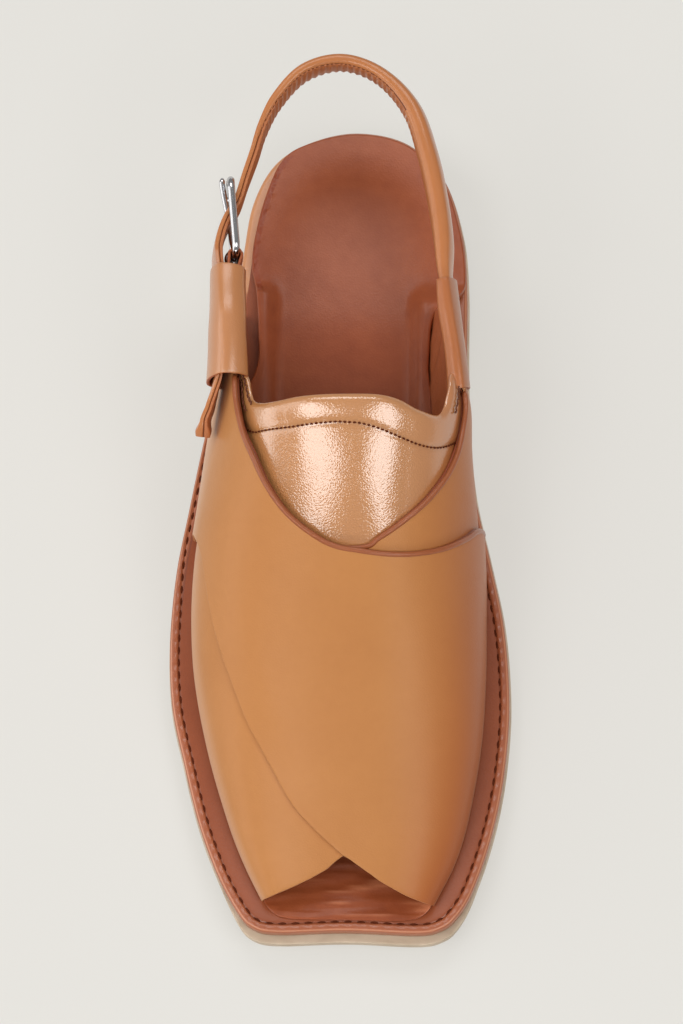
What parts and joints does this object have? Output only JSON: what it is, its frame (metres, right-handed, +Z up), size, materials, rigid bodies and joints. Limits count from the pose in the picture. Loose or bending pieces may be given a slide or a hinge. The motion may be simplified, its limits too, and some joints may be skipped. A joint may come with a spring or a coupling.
{
  "type": "peshawari chappal",
  "caption": "Right leather sandal with crossed vamp panels, scalloped tongue, square toe and buckled heel strap.",
  "frame": {"origin": "middle of the shoe's bounding box, on the floor that it stands on", "axes": "+Y to the heel along the shoe, so the toe points along -Y; +Z up; +X to the inner (big toe) side"},
  "size_m": [0.119, 0.297, 0.0856],
  "materials": {
    "edge_leather": "natural beige sole leather, matt",
    "brown_leather": "reddish brown leather, soft sheen",
    "tan_leather": "smooth tan leather, polished sheen",
    "nickel": "polished nickel plate"
  },
  "bodies": {
    "root": {"heel_block": "edge_leather", "outsole": "edge_leather", "midsole": "brown_leather", "insole": "brown_leather", "upper": "tan_leather", "tongue": "tan_leather", "keeper_outer": "tan_leather", "keeper_inner": "tan_leather", "heel_strap": "tan_leather", "buckle_chape": "tan_leather", "buckle_frame": "nickel", "buckle_prong": "nickel"}
  },
  "joints": []
}
